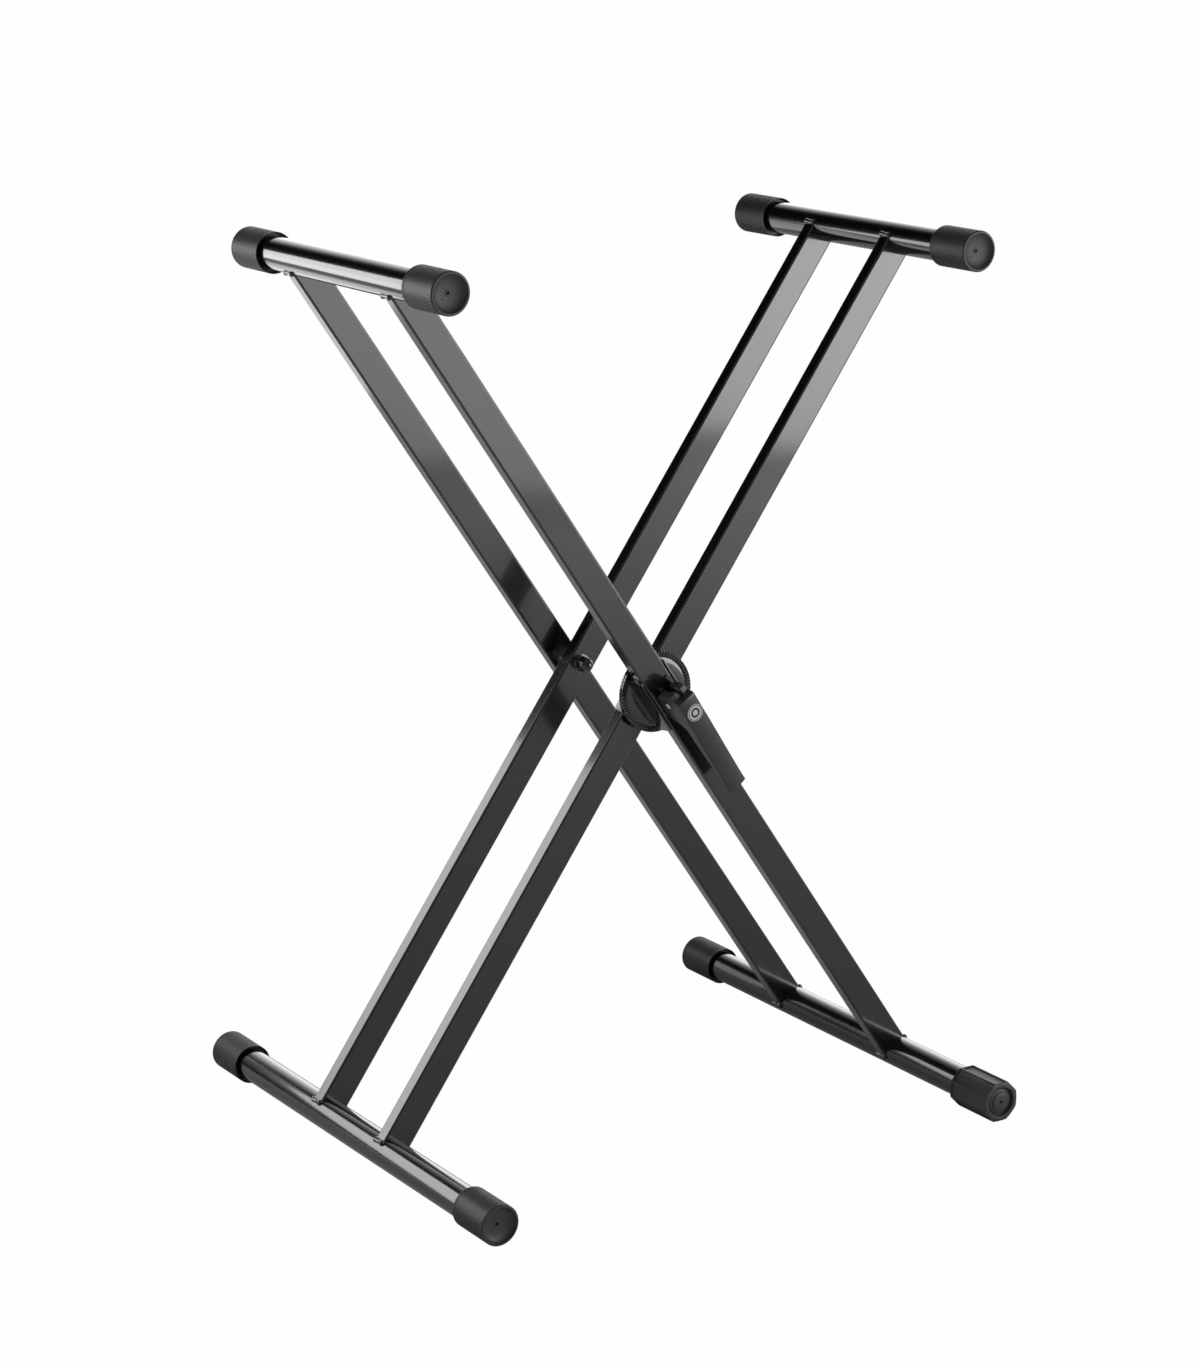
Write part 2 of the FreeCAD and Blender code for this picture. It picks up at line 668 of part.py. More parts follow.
# The badge lies on the crown, whose slope runs from the fork to the bend.
crown_run = "(lever_bend + lever_cam_end / 2)"
crown_fall = "(lever_crown - lever_crown_mid)"
badge_out = f"({OUTER_FACE} + lever_crown - {crown_fall} * (badge_place + lever_cam_end / 2) / {crown_run})"
badge = new_body("lever_badge")
badge_disc = badge.newObject("PartDesign::AdditiveCylinder", "Disc")
turn(badge_disc, (1, 0, 0), 90)
bind(badge_disc, Radius="badge_diameter / 2", Height="badge_thickness",
     Placement__Rotation__Angle=f"90deg + atan({crown_fall} / {crown_run})")
place(badge_disc, "0", f"-{badge_out}", "-badge_place")
lean(badge, OUTER)
register(badge, "lever_badge")

# ---- far pivot --------------------------------------------------------------------

ring("pivot_sleeve_far", FAR, "far_bolt_diameter / 2", "sleeve_diameter / 2", OUTER_BACK, OUTER_FACE)
ring("pivot_spacer_far", FAR, "far_bolt_diameter / 2", "spacer_diameter / 2", f"({INNER_FACE} + part_gap)",
     OUTER_BACK)
ring("pivot_bush_far", FAR, FAR_BORE, "bush_diameter / 2", INNER_BACK, INNER_FACE)
ring("pivot_washer_far_outer", FAR, "far_bolt_diameter / 2", "far_washer_diameter / 2", OUTER_FACE,
     f"({OUTER_FACE} + far_washer_thickness)")
ring("pivot_washer_far_inner", FAR, "far_bolt_diameter / 2", "far_washer_diameter / 2",
     f"({FAR_WASHER} - far_washer_thickness)", FAR_WASHER)

far_head = f"({OUTER_FACE} + far_washer_thickness)"
far_bolt_end = f"({DOME_SEAT} - dome_thread_depth)"
pivot_bolt = fuse([
    prism(NUT_SIDE_COUNT, "far_head_width / 2 / cos(30deg)", far_head, f"({far_head} + far_head_thickness)"),
    cylinder("far_bolt_diameter / 2", far_bolt_end, far_head),
], "pivot_bolt_far")
face_out(pivot_bolt, FAR)
place(pivot_bolt, z=PIVOT_HEIGHT)
register(pivot_bolt, "pivot_bolt_far")

dome_ball = document.addObject("Part::Sphere", "DomeBall")
bind(dome_ball, Radius="dome_radius")
place(dome_ball, z=DOME_START)
dome_solid = fuse([
    cylinder("dome_flange_diameter / 2", DOME_HEX, DOME_SEAT),
    prism(NUT_SIDE_COUNT, "dome_radius / cos(30deg)", DOME_START, DOME_HEX),
    dome_ball,
])
cap_nut = cut(dome_solid, cylinder("far_bolt_diameter / 2", far_bolt_end, f"{DOME_SEAT} + {SPARE}"),
              "pivot_cap_nut_far")
face_out(cap_nut, FAR)
place(cap_nut, z=PIVOT_HEIGHT)
register(cap_nut, "pivot_cap_nut_far")

# ---- check and write --------------------------------------------------------------

document.removeObject("Probe")
document.recompute()
for item in document.Objects:
    if "Invalid" in item.State or "Error" in item.State:
        raise RuntimeError(f"{item.Name} ({item.Label}) failed: {item.State}")
os.makedirs("parts", exist_ok=True)
for item in nodes:
    if item.Shape.isNull() or not item.Shape.isValid():
        raise RuntimeError(f"{item.Label} has no valid shape")
    item.Shape.exportStep(f"parts/{item.Label}.step")
    box = item.Shape.BoundBox
    print(f"{item.Label:26} solids {len(item.Shape.Solids)} volume {item.Shape.Volume:10.1f}",
          f"x {box.XMin:7.1f} {box.XMax:7.1f}", f"y {box.YMin:7.1f} {box.YMax:7.1f}",
          f"z {box.ZMin:6.1f} {box.ZMax:6.1f}")
print(len(nodes), "nodes")
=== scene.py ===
import math

import bmesh
import bpy
from mathutils import Matrix, Vector


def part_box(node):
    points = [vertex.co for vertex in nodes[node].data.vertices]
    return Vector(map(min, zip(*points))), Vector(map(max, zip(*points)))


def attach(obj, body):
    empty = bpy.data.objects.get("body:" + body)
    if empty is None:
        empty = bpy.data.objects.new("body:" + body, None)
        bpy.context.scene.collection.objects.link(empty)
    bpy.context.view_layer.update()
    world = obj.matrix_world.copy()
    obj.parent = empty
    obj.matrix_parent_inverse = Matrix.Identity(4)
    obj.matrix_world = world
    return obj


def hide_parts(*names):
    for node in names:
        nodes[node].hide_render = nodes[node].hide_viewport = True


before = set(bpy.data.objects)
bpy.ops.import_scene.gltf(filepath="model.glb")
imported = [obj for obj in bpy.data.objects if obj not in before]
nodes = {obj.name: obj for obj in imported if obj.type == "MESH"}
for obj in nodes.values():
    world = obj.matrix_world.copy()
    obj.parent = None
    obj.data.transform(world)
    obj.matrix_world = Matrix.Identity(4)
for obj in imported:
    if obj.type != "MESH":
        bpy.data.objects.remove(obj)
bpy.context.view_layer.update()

# ---- Leg frames -------------------------------------------------------------------
# Four rectangular steel tubes, 30 x 15 mm, in two crossed frames. They are powder
# coated in semi-gloss black, which leaves a faint orange-peel on every face.

MM = 0.001


def new_material(name, **values):
    """Start a material and return it with its node tree and shader."""
    material = bpy.data.materials.new(name)
    material.use_nodes = True
    tree = material.node_tree
    shader = tree.nodes["Principled BSDF"]
    for socket, value in values.items():
        shader.inputs[socket.replace("_", " ")].default_value = value
    return material, tree, shader


def new_socket(group, way, name, start=0.0):
    """Add one number to what a node group takes in or gives out."""
    socket = group.interface.new_socket(name, in_out=way, socket_type="NodeSocketFloat")
    socket.default_value = start


coat_finish = bpy.data.node_groups.new("coat_finish", "ShaderNodeTree")
new_socket(coat_finish, "INPUT", "Scale", start=900.0)
new_socket(coat_finish, "INPUT", "Height", start=0.02)
new_socket(coat_finish, "INPUT", "Dullness", start=0.3)
new_socket(coat_finish, "INPUT", "Variation", start=0.05)
new_socket(coat_finish, "OUTPUT", "Roughness")
new_socket(coat_finish, "OUTPUT", "Height")
group_in = coat_finish.nodes.new("NodeGroupInput")
group_out = coat_finish.nodes.new("NodeGroupOutput")
place = coat_finish.nodes.new("ShaderNodeTexCoord")
peel = coat_finish.nodes.new("ShaderNodeTexNoise")
peel.inputs["Detail"].default_value = 2
haze = coat_finish.nodes.new("ShaderNodeTexNoise")
haze.inputs["Scale"].default_value = 18
haze.inputs["Detail"].default_value = 4
height = coat_finish.nodes.new("ShaderNodeMath")
height.operation = "MULTIPLY"
spread = coat_finish.nodes.new("ShaderNodeMath")
spread.operation = "MULTIPLY_ADD"
link = coat_finish.links.new
link(place.outputs["Object"], peel.inputs["Vector"])
link(place.outputs["Object"], haze.inputs["Vector"])
link(group_in.outputs["Scale"], peel.inputs["Scale"])
link(peel.outputs["Fac"], height.inputs[0])
link(group_in.outputs["Height"], height.inputs[1])
link(haze.outputs["Fac"], spread.inputs[0])
link(group_in.outputs["Variation"], spread.inputs[1])
link(group_in.outputs["Dullness"], spread.inputs[2])
link(spread.outputs[0], group_out.inputs["Roughness"])
link(height.outputs[0], group_out.inputs["Height"])


def coat(tree, shader, scale, height, dullness, variation):
    """Give a shader the orange-peel and haze of a sprayed or moulded finish."""
    finish = tree.nodes.new("ShaderNodeGroup")
    finish.node_tree = coat_finish
    values = {"Scale": scale, "Height": height, "Dullness": dullness, "Variation": variation}
    for socket, value in values.items():
        finish.inputs[socket].default_value = value
    bump = tree.nodes.new("ShaderNodeBump")
    bump.inputs["Distance"].default_value = MM
    tree.links.new(finish.outputs["Height"], bump.inputs["Height"])
    tree.links.new(bump.outputs["Normal"], shader.inputs["Normal"])
    tree.links.new(finish.outputs["Roughness"], shader.inputs["Roughness"])


def dress(node, material):
    """Give a CAD node its finish."""
    if not nodes[node].material_slots:
        nodes[node].data.materials.append(material)
    for slot in nodes[node].material_slots:
        slot.material = material


powder_coat, tree, shader = new_material(
    "powder_coat", Base_Color=(0.006, 0.006, 0.0063, 1), Coat_Weight=1.0, Coat_Roughness=0.07)
coat(tree, shader, scale=420, height=0.0025, dullness=0.18, variation=0.06)
for node in ("leg_outer_near", "leg_outer_far", "leg_inner_near", "leg_inner_far"):
    dress(node, powder_coat)

# ---- Round tubes ------------------------------------------------------------------
# Four round steel tubes, 32 mm across, with a cap on each end. Each is welded across the
# ends of two legs and powder coated together with them.

TUBE_RADIUS = 16 * MM
TUBE_WALL = 1.5 * MM


def begin(kind, name, **sizes):
    """Add one primitive, and open it in edit mode with nothing selected."""
    bpy.ops.object.select_all(action="DESELECT")
    getattr(bpy.ops.mesh, f"primitive_{kind}_add")(**sizes)
    piece = bpy.context.object
    piece.name = piece.data.name = name
    bpy.ops.object.transform_apply(location=True, rotation=True, scale=True)
    bpy.ops.object.mode_set(mode="EDIT")
    bpy.ops.mesh.select_all(action="DESELECT")
    return piece


def pick(piece, kind, wanted):
    """Select only the faces, edges or vertices that pass the test."""
    bpy.ops.mesh.select_mode(type={"faces": "FACE", "edges": "EDGE", "verts": "VERT"}[kind])
    bpy.ops.mesh.select_all(action="DESELECT")
    mesh = bmesh.from_edit_mesh(piece.data)
    for item in getattr(mesh, kind):
        if wanted(item):
            item.select_set(True)
    mesh.select_flush_mode()
    bmesh.update_edit_mesh(piece.data)


def finish_shape(piece, angle):
    """Close the mesh work: merge doubles, turn normals out and shade the round parts smooth."""
    bpy.ops.mesh.select_all(action="SELECT")
    bpy.ops.mesh.remove_doubles(threshold=1e-6)
    bpy.ops.mesh.normals_make_consistent(inside=False)
    bpy.ops.object.mode_set(mode="OBJECT")
    bpy.ops.object.select_all(action="DESELECT")
    piece.select_set(True)
    bpy.context.view_layer.objects.active = piece
    bpy.ops.object.shade_smooth_by_angle(angle=math.radians(angle))


def copy_of(piece, name, matrix):
    """Copy a piece with its own mesh, and set the copy in its place."""
    twin = bpy.data.objects.new(name, piece.data.copy())
    bpy.context.scene.collection.objects.link(twin)
    twin.data.transform(matrix)
    if matrix.determinant() < 0:
        twin.data.flip_normals()
    return twin


def fit(piece, node, body, slot, *materials):
    """Let a piece stand for a CAD node, ride on its body and wear its finish."""
    piece.data.materials.clear()
    for material in materials:
        piece.data.materials.append(material)
    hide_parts(node)
    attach(piece, body)


def drop(piece):
    """Remove a pattern piece once its copies are made."""
    bpy.data.objects.remove(piece)


tube = begin("cylinder", "tube_pattern", vertices=128, radius=TUBE_RADIUS, depth=1)
pick(tube, "faces", lambda face: abs(face.normal.z) > 0.9)
bpy.ops.mesh.inset(thickness=TUBE_WALL)
bpy.ops.mesh.bridge_edge_loops()
finish_shape(tube, 30)
tubes = {}
for frame_name in ("outer", "inner"):
    for end_name in ("arm", "foot"):
        node = f"{end_name}_tube_{frame_name}"
        low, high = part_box(node)
        tubes[node] = (low + high) / 2
        cut_to_length = Matrix.Rotation(math.pi / 2, 4, "X") @ Matrix.Scale(high.y - low.y, 4, (0, 0, 1))
        piece = copy_of(tube, f"round_{node}", Matrix.Translation(tubes[node]) @ cut_to_length)
        fit(piece, node, f"{frame_name}_frame", "frame_paint", powder_coat)
drop(tube)

# ---- Welds ------------------------------------------------------------------------
# Short weld beads run along the legs' narrow edges where they meet the round tubes.
# Each was laid by hand in overlapping drops, so it is rippled and bulges at its ends.

PIVOT = sum(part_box("pivot_spacer_far"), Vector()) / 2
PIVOT.y = 0
LEAN = math.atan2(tubes["arm_tube_inner"].x, tubes["arm_tube_inner"].z - PIVOT.z)
OUTER, INNER = 1, -1
UP, DOWN = 1, -1
NEAR, FAR = -1, 1
LEG_WIDTH, LEG_DEPTH = 30 * MM, 15 * MM
OUTER_LEG, INNER_LEG = 92.5 * MM, 62.5 * MM      # mid plane to the middle of a leg
BEAD_RADIUS = 3.2 * MM


def along_leg(lean):
    """Frame of a leg at the pivot: X across the leg, Y up it and Z out of its near face."""
    leaned = Matrix.Translation(PIVOT) @ Matrix.Rotation(-lean * LEAN, 4, "Y")
    return leaned @ Matrix.Rotation(math.pi / 2, 4, "X")


def middle(item):
    """Middle of an edge or face."""
    return sum((vert.co for vert in item.verts), Vector()) / len(item.verts)


def step(out, grow=1.0):
    """Extrude the selected face along Z and scale it across."""
    bpy.ops.mesh.extrude_region_move(TRANSFORM_OT_translate={"value": (0, 0, out)})
    if grow != 1.0:
        bpy.ops.transform.resize(value=(grow, grow, 1), center_override=(0, 0, 0))


def joined(pieces, name):
    """Join two or more pieces into one."""
    bpy.ops.object.select_all(action="DESELECT")
    for piece in pieces:
        piece.select_set(True)
    bpy.context.view_layer.objects.active = pieces[0]
    bpy.ops.object.join()
    pieces[0].name = pieces[0].data.name = name
    return pieces[0]


bead = begin("cylinder", "weld_bead", vertices=16, radius=BEAD_RADIUS, depth=LEG_DEPTH - 3 * MM)
BEAD_END = ((0.8, 0.9), (0.7, 0.8), (0.5, 0.6))     # each step out in millimetres, and its taper
for way in (1, -1):
    pick(bead, "faces", lambda face: face.normal.z * way > 0.9)
    for out, grow in BEAD_END:
        step(way * out * MM, grow)
RIPPLE_COUNT = 9
RIPPLE_PITCH = 1.4
for ripple in range(RIPPLE_COUNT):
    height = (ripple - RIPPLE_COUNT // 2) * RIPPLE_PITCH * MM
    pick(bead, "faces", lambda face: True)
    bpy.ops.mesh.bisect(plane_co=(0, 0, height), plane_no=(0, 0, 1))
    if ripple % 2:
        pick(bead, "verts", lambda vert: abs(vert.co.z - height) < 0.01 * MM)
        bpy.ops.transform.resize(value=(0.86, 0.86, 1), center_override=(0, 0, height))
finish_shape(bead, 80)
BEAD_DROP = math.sqrt((2 * TUBE_RADIUS) ** 2 - LEG_WIDTH ** 2) / 2
for lean, frame_name, leg_place in ((OUTER, "outer", OUTER_LEG), (INNER, "inner", INNER_LEG)):
    for end, end_name in ((UP, "arm"), (DOWN, "foot")):
        reach = (tubes[f"{end_name}_tube_{frame_name}"] - PIVOT).length
        beads = []
        for side in (NEAR, FAR):
            for edge in (-1, 1):
                spot = Vector((edge * LEG_WIDTH / 2, end * (reach - BEAD_DROP), -side * leg_place))
                turn = Matrix.Rotation(math.radians(50 * edge + 90 * side), 4, "Z")
                beads.append(copy_of(bead, "bead", along_leg(lean) @ Matrix.Translation(spot) @ turn))
        node = f"welds_{end_name}_{frame_name}"
        run = joined(beads, f"weld_beads_{end_name}_{frame_name}")
        fit(run, node, f"{frame_name}_frame", "frame_paint", powder_coat)
drop(bead)

# ---- Plain end caps ---------------------------------------------------------------
# Seven moulded rubber caps pushed over the tube ends. Each has fine ribs for grip, a
# thin lip round the tube, and a dished end with a vent hole and a moulding pip.

CAP_RADIUS = 20 * MM
CAP_LENGTH = 52 * MM
RIB_COUNT = 60
RIB_DEPTH = 0.7 * MM
END_LAND, MOUTH_LAND = 1.2 * MM, 1.6 * MM            # plain rings at both ends of the ribs
END_TAPER = 0.95
END_RIM = 1.5 * MM
MOUTH_LIP = 0.7 * MM
MOUTH_TAPER = 0.985

cap_rubber, tree, shader = new_material("cap_rubber", Base_Color=(0.045, 0.045, 0.046, 1))
coat(tree, shader, scale=900, height=0.03, dullness=0.4, variation=0.1)

cap = begin("cylinder", "cap_pattern", vertices=2 * RIB_COUNT, radius=CAP_RADIUS, depth=CAP_LENGTH,
            location=(0, 0, -CAP_LENGTH / 2))
for height in (-END_LAND, MOUTH_LAND - CAP_LENGTH):
    pick(cap, "faces", lambda face: True)
    bpy.ops.mesh.bisect(plane_co=(0, 0, height), plane_no=(0, 0, 1))


def sector(spot, count):
    """Number of the equal sector round Z that a place lies in."""
    return int((math.atan2(spot.y, spot.x) / (2 * math.pi) + 1) * count)


def is_rib_groove(face):
    """Tell whether a face is every other one in the ribbed band of the cap's side."""
    spot = middle(face)
    in_band = abs(spot.z + CAP_LENGTH / 2) < CAP_LENGTH / 4
    return in_band and sector(spot, 2 * RIB_COUNT) % 2 == 0


def step_rings(radius, rings):
    """Shape the selected round face by rings, each with its radius and rise in millimetres."""
    for next_radius, rise in rings:
        step(rise * MM, next_radius / radius)
        radius = next_radius


pick(cap, "faces", is_rib_groove)
bpy.ops.mesh.extrude_region_shrink_fatten(TRANSFORM_OT_shrink_fatten={"value": -RIB_DEPTH})
pick(cap, "verts", lambda vert: vert.co.z > -0.01 * MM)
bpy.ops.transform.resize(value=(END_TAPER, END_TAPER, 1), center_override=(0, 0, 0))
pick(cap, "faces", lambda face: face.normal.z > 0.9 and len(face.verts) > 4)
bpy.ops.mesh.inset(thickness=END_RIM)
step(-1.6 * MM)
DISH = (
    (16.6, -1.2), (15, -1.0), (13, -0.8), (10.5, -0.6), (7.5, -0.4), (4.5, -0.2), (3.2, -0.05),
    (2.6, 0.4), (1.6, 0), (1.45, -2.35),
)
step_rings((CAP_RADIUS * END_TAPER - END_RIM) / MM, DISH)
pick(cap, "faces", lambda face: face.normal.z < -0.9 and len(face.verts) > 4)
bpy.ops.mesh.inset(thickness=MOUTH_LIP)
step(6 * MM, MOUTH_TAPER)
bpy.ops.mesh.inset(thickness=(CAP_RADIUS - MOUTH_LIP) * MOUTH_TAPER - TUBE_RADIUS - 0.02 * MM)
step(CAP_LENGTH - 14 * MM)
finish_shape(cap, 30)
pip = begin("cylinder", "moulding_pip", vertices=16, radius=0.8 * MM, depth=0.8 * MM,
            location=(-5.2 * MM, -5.2 * MM, -5.5 * MM))
pick(pip, "edges", lambda edge: all(vert.co.z > -5.2 * MM for vert in edge.verts))
bpy.ops.mesh.bevel(offset=0.25 * MM, segments=3, affect="EDGES")
finish_shape(pip, 60)
cap = joined([cap, pip], "cap_pattern")

for lean, frame_name in ((OUTER, "outer"), (INNER, "inner")):
    for end_name in ("arm", "foot"):
        for side, side_name in ((NEAR, "near"), (FAR, "far")):
            node = f"cap_{end_name}_{frame_name}_{side_name}"
            if node not in nodes:
                continue
            low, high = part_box(node)
            end = (low + high) / 2
            end.y = low.y if side == NEAR else high.y
            out = Matrix.Rotation(-side * math.pi / 2, 4, "X")
            piece = copy_of(cap, f"ribbed_{node}", Matrix.Translation(end) @ out)
            fit(piece, node, f"{frame_name}_frame", "cap_rubber", cap_rubber)
drop(cap)

# ---- Levelling cap ----------------------------------------------------------------
# The eighth cap is octagonal and set off the tube's axis, so that turning it levels the
# stand. Each corner is a raised rib, and the end has a domed middle in a round recess.

LEVEL_LENGTH = 56 * MM
LEVEL_OFFSET = 2 * MM
LEVEL_SIDES = 8
BORE_FLOOR = 6.7 * MM                 # end face to the floor of the tube's bore
SCALLOP = ((1.2, 0.45), (1.6, 0.25), (1.8, 0.1))      # inset and fall, in millimetres
low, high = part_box("levelling_cap")
level_end = Vector((tubes["foot_tube_outer"].x, low.y, CAP_RADIUS))
level = begin("cylinder", "octagonal_levelling_cap", vertices=LEVEL_SIDES, depth=LEVEL_LENGTH,
              radius=CAP_RADIUS / math.cos(math.pi / LEVEL_SIDES), location=(0, 0, -LEVEL_LENGTH / 2),
              rotation=(0, 0, math.pi / LEVEL_SIDES))
pick(level, "faces", lambda face: abs(face.normal.z) < 0.5)
bpy.ops.mesh.inset(thickness=1.4 * MM, use_individual=True)
bpy.ops.mesh.extrude_region_shrink_fatten(TRANSFORM_OT_shrink_fatten={"value": -0.8 * MM})
for inset, fall in SCALLOP:
    bpy.ops.mesh.inset(thickness=inset * MM, use_individual=True, depth=-fall * MM)
finish_shape(level, 30)


def apply_modifiers(piece):
    """Apply a piece's modifiers in their order."""
    bpy.ops.object.select_all(action="DESELECT")
    piece.select_set(True)
    bpy.context.view_layer.objects.active = piece
    for modifier in [entry.name for entry in piece.modifiers]:
        bpy.ops.object.modifier_apply(modifier=modifier)


def carve(piece, cutter, operation="DIFFERENCE"):
    """Cut the shape of a second piece out of the first, or keep only what they share."""
    boolean = piece.modifiers.new("cut", "BOOLEAN")
    boolean.operation = operation
    boolean.solver = "EXACT"
    boolean.object = cutter
    apply_modifiers(piece)
    drop(cutter)


TURNED_RADIUS = 24
TURNED_END = ((22, 1.2), (20.6, 0.8), (19.2, 0.6), (17.6, 0.4))
turned_end = begin("cylinder", "turned_end", vertices=96, radius=TURNED_RADIUS * MM, depth=LEVEL_LENGTH,
                   location=(0, 0, -LEVEL_LENGTH / 2))
pick(turned_end, "faces", lambda face: face.normal.z > 0.9)
bpy.ops.transform.translate(value=(0, 0, -3 * MM))
step_rings(TURNED_RADIUS, TURNED_END)
finish_shape(turned_end, 30)
carve(level, turned_end, "INTERSECT")
RECESS_RADIUS, RECESS_RIM = 15.5, 2.5
END_DOME = (
    (12.8, 1.3), (11.8, 0.6), (9.6, 0.2), (9.4, 0.9), (8.4, 0.5), (5, 0.2), (1.5, 0.05), (1.5, -3),
)
recess = begin("cylinder", "end_recess", vertices=64, radius=RECESS_RADIUS * MM, depth=6 * MM,
               location=(0, 0, -1 * MM))
pick(recess, "faces", lambda face: face.normal.z < -0.9)
bpy.ops.mesh.inset(thickness=RECESS_RIM * MM)
step_rings(RECESS_RADIUS - RECESS_RIM, END_DOME)
finish_shape(recess, 30)
carve(level, recess)
bore = begin("cylinder", "tube_bore", vertices=96, radius=TUBE_RADIUS + 0.05 * MM, depth=LEVEL_LENGTH,
             location=(-LEVEL_OFFSET, 0, -LEVEL_LENGTH / 2 - BORE_FLOOR))
pick(bore, "faces", lambda face: face.normal.z < -0.9)
bpy.ops.mesh.inset(thickness=1 * MM)
finish_shape(bore, 30)
carve(level, bore)
level.data.transform(Matrix.Translation(level_end) @ Matrix.Rotation(math.pi / 2, 4, "X")
                     @ Matrix.Translation((-LEVEL_OFFSET, 0, 0)))
fit(level, "levelling_cap", "level_cap", "cap_rubber", cap_rubber)

# ---- Toothed clutch ---------------------------------------------------------------
# Two pressed steel discs whose rims are corrugated into 72 teeth. Each has two walls that
# hug its leg, so that meshed teeth lock the legs' angle. They are painted gloss black.

DISC_RADIUS = 40 * MM
DISC_BORE = 5.3 * MM
TOOTH_COUNT = 72
TOOTH_LENGTH = 4.5 * MM
TOOTH_DEPTH = 1.8 * MM
DISC_THICKNESS = 3.05 * MM
FRONT_RIPPLE = 1.0 * MM
DISC_DOME = ((35.3, -0.85), (34.2, 0.45), (31.5, 0.35), (27, 0.25), (20, 0.15), (12, 0.08))
WALL_INSIDE = 15.2 * MM
WALL_TOP, WALL_FOOT = 22.35 * MM, 1.5 * MM
WALL_THICKNESS = 4.3 * MM
WALL_LENGTH = 66 * MM
BOSS_RADIUS, BOSS_BORE = 18 * MM, 5.5 * MM
OUTER_TEETH, INNER_TEETH = 77.65 * MM, 77.35 * MM   # mid plane to the tips of the teeth

clutch_gloss, tree, shader = new_material(
    "clutch_gloss", Base_Color=(0.008, 0.008, 0.0085, 1), Coat_Weight=1.0, Coat_Roughness=0.05)
coat(tree, shader, scale=420, height=0.008, dullness=0.16, variation=0.05)

disc = begin("cylinder", "clutch_disc", vertices=2 * TOOTH_COUNT, radius=DISC_RADIUS,
             depth=DISC_THICKNESS - TOOTH_DEPTH - FRONT_RIPPLE,
             location=(0, 0, (TOOTH_DEPTH + DISC_THICKNESS - FRONT_RIPPLE) / 2))


def raised_part(face, way, parity):
    """Tell whether a face of the disc is its middle or every other tooth."""
    if face.normal.z * way < 0.9:
        return False
    spot = middle(face)
    return spot.xy.length < 30 * MM or sector(spot, 2 * TOOTH_COUNT) % 2 == parity


for way, parity, depth in ((-1, 0, TOOTH_DEPTH), (1, 1, FRONT_RIPPLE)):
    pick(disc, "faces", lambda face: face.normal.z * way > 0.9)
    bpy.ops.mesh.inset(thickness=TOOTH_LENGTH)
    pick(disc, "faces", lambda face: raised_part(face, way, parity))
    bpy.ops.mesh.extrude_region_move(TRANSFORM_OT_translate={"value": (0, 0, way * depth)})
pick(disc, "edges", lambda edge: all(abs(vert.co.z - DISC_THICKNESS) < 0.01 * MM for vert in edge.verts)
     and edge.calc_face_angle(0) > math.radians(60))
bpy.ops.mesh.bevel(offset=0.68 * MM, segments=1, affect="EDGES")
pick(disc, "faces", lambda face: face.normal.z > 0.9 and len(face.verts) > 100)
step_rings((DISC_RADIUS - TOOTH_LENGTH) / MM, DISC_DOME)
bpy.ops.mesh.inset(thickness=DISC_DOME[-1][0] * MM - DISC_BORE)
pick(disc, "faces", lambda face: face.normal.z < -0.9 and len(face.verts) > 8)
bpy.ops.mesh.inset(thickness=DISC_RADIUS - TOOTH_LENGTH - DISC_BORE)
pick(disc, "faces", lambda face: abs(face.normal.z) > 0.9 and len(face.verts) > 8)
bpy.ops.mesh.bridge_edge_loops()
finish_shape(disc, 25)


def block(name, size, centre):
    """Add a box of a given size in its place, and leave it open in edit mode."""
    piece = begin("cube", name, size=1)
    bpy.ops.mesh.select_all(action="SELECT")
    bpy.ops.transform.resize(value=size, center_override=(0, 0, 0))
    bpy.ops.transform.translate(value=centre)
    return piece


wall = block("saddle_wall", (WALL_THICKNESS, WALL_LENGTH, WALL_TOP - WALL_FOOT),
             (WALL_INSIDE + WALL_THICKNESS / 2, 0, (WALL_TOP + WALL_FOOT) / 2))
pick(wall, "verts", lambda vert: vert.co.x > WALL_INSIDE + 1 * MM and vert.co.z > WALL_TOP - 1 * MM)
bpy.ops.transform.translate(value=(-2.6 * MM, 0, 0))
pick(wall, "edges", lambda edge: middle(edge).z > WALL_TOP - 1 * MM and abs(middle(edge).y) > 32 * MM)
bpy.ops.mesh.bevel(offset=4 * MM, segments=6, affect="EDGES")
pick(wall, "edges", lambda edge: middle(edge).z > 1.6 * MM and edge.calc_face_angle(0) > math.radians(60))
bpy.ops.mesh.bevel(offset=0.45 * MM, segments=2, affect="EDGES")
finish_shape(wall, 40)
mirrored_wall = copy_of(wall, "saddle_wall_left", Matrix.Scale(-1, 4, (1, 0, 0)))
half = joined([disc, wall, mirrored_wall], "clutch_half")

outer_half = copy_of(half, "clutch_outer", along_leg(OUTER) @ Matrix.Translation((0, 0, OUTER_TEETH)))
fit(outer_half, "clutch_half_outer", "release_bolt", "clutch_paint", clutch_gloss)
boss = begin("cylinder", "clutch_boss", vertices=64, radius=BOSS_RADIUS, depth=4.4 * MM,
             location=(0, 0, 5.15 * MM))
pick(boss, "faces", lambda face: abs(face.normal.z) > 0.9)
bpy.ops.mesh.inset(thickness=BOSS_RADIUS - BOSS_BORE)
bpy.ops.mesh.bridge_edge_loops()
finish_shape(boss, 30)
inner_half = joined([copy_of(half, "clutch_inner", Matrix.Identity(4)), boss], "clutch_inner")
inner_half.data.transform(along_leg(INNER) @ Matrix.Translation((0, 0, INNER_TEETH))
                          @ Matrix.Rotation(math.pi, 4, "Y"))
fit(inner_half, "clutch_half_inner", "inner_frame", "clutch_paint", clutch_gloss)
drop(half)

# ---- Bolt, bushes, spring and cam plate -------------------------------------------
# The zinc-plated release bolt slides in steel bushes and pulls the clutch together. The
# lever's head bears on a small plate that is painted with the frame.

